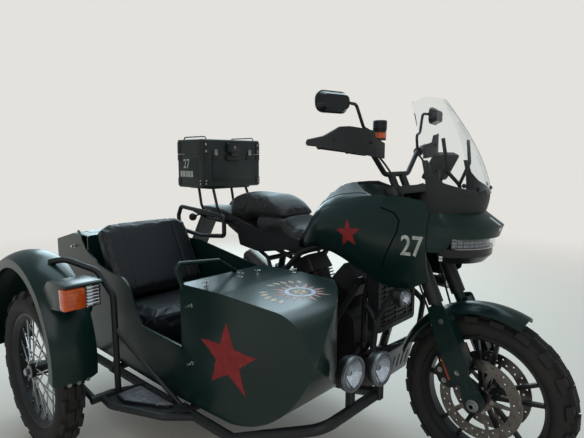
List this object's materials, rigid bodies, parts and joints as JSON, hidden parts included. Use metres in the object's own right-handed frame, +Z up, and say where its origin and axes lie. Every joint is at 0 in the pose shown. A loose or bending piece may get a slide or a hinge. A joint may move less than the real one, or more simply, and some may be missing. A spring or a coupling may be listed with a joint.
{
  "type": "sidecar motorcycle",
  "caption": "Adventure touring motorcycle with an open-topped sidecar on its right side, knobby tyres, luggage box and hinged lids",
  "frame": {"origin": "on the ground under the middle of the whole outfit's length and width", "axes": "+X forward along the motorcycle, +Y to its left (the sidecar is on the -Y side), +Z up"},
  "size_m": [2.458, 1.6784, 1.504],
  "materials": {
    "green_paint": "satin",
    "black_paint": "satin",
    "black_plastic": "fine grain",
    "seat_cover": "grained",
    "tread": "matte",
    "peg_rubber": "matte",
    "bare_aluminium": "cast",
    "bright_steel": "brushed",
    "chrome_rim": "polished",
    "clear_screen": "clear",
    "lamp_glass": "clear"
  },
  "bodies": {
    "chassis": {"crash_bars": "black_paint", "dash": "black_plastic", "drive_chain": "bright_steel", "engine": "bare_aluminium", "exhaust": "bright_steel", "fender_lamps": "green_paint", "foot_pegs": "peg_rubber", "fuel_tank": "green_paint", "headlamp": "lamp_glass", "luggage_rack": "black_paint", "main_frame": "black_paint", "nose_fairing": "green_paint", "pillion_seat": "seat_cover", "radiator": "black_plastic", "rider_seat": "seat_cover", "screen_cowl": "black_plastic", "side_panels": "green_paint", "sidecar_backrest": "seat_cover", "sidecar_body": "green_paint", "sidecar_boot": "green_paint", "sidecar_cowl": "green_paint", "sidecar_fender": "green_paint", "sidecar_frame": "black_paint", "sidecar_grab_rail": "green_paint", "sidecar_lamps": "black_plastic", "sidecar_seat": "seat_cover", "sidecar_step": "bare_aluminium", "sidecar_struts": "black_paint", "sidecar_suspension": "black_paint", "skid_plate": "black_paint", "swingarm": "black_paint", "tail_section": "black_plastic", "top_box": "black_plastic", "windscreen": "clear_screen"},
    "steering": {"fork": "black_paint", "fork_legs": "black_paint", "front_fender": "green_paint", "front_calipers": "black_paint", "handlebar": "black_paint", "hand_guards": "black_plastic", "mirrors": "black_plastic"},
    "front_wheel": {"front_wheel": "black_paint", "front_discs": "bright_steel", "front_tyre": "tread"},
    "rear_wheel": {"rear_wheel": "black_paint", "rear_tyre": "tread"},
    "sidecar_wheel": {"sidecar_wheel": "chrome_rim", "sidecar_tyre": "tread"},
    "box_lid": {"top_box_lid": "black_plastic"},
    "boot_lid": {"sidecar_boot_lid": "green_paint"},
    "stand": {"side_stand": "black_paint"}
  },
  "joints": [
    {"name": "steering", "type": "hinge", "parent": "chassis", "child": "steering", "pos_m": [0.87, 0.357, 0.3165], "axis": [-0.4226, 0, 0.9063], "range_deg": [-32, 32]},
    {"name": "front_wheel_spin", "type": "hinge", "parent": "steering", "child": "front_wheel", "pos_m": [0.899, 0.357, 0.33], "axis": [0, 1, 0], "continuous": true},
    {"name": "rear_wheel_spin", "type": "hinge", "parent": "chassis", "child": "rear_wheel", "pos_m": [-0.681, 0.357, 0.322], "axis": [0, 1, 0], "continuous": true},
    {"name": "sidecar_wheel_spin", "type": "hinge", "parent": "chassis", "child": "sidecar_wheel", "pos_m": [-0.619, -0.749, 0.345], "axis": [0, 1, 0], "continuous": true},
    {"name": "top_box_lid", "type": "hinge", "parent": "chassis", "child": "box_lid", "pos_m": [-0.854, 0.357, 1.282], "axis": [0, -1, 0], "range_deg": [0, 95]},
    {"name": "sidecar_boot_lid", "type": "hinge", "parent": "chassis", "child": "boot_lid", "pos_m": [-0.874, -0.144, 0.886], "axis": [0, 1, 0], "range_deg": [0, 75]},
    {"name": "side_stand", "type": "hinge", "parent": "chassis", "child": "stand", "pos_m": [-0.091, 0.525, 0.286], "axis": [0, -1, 0], "range_deg": [0, 95]}
  ]
}
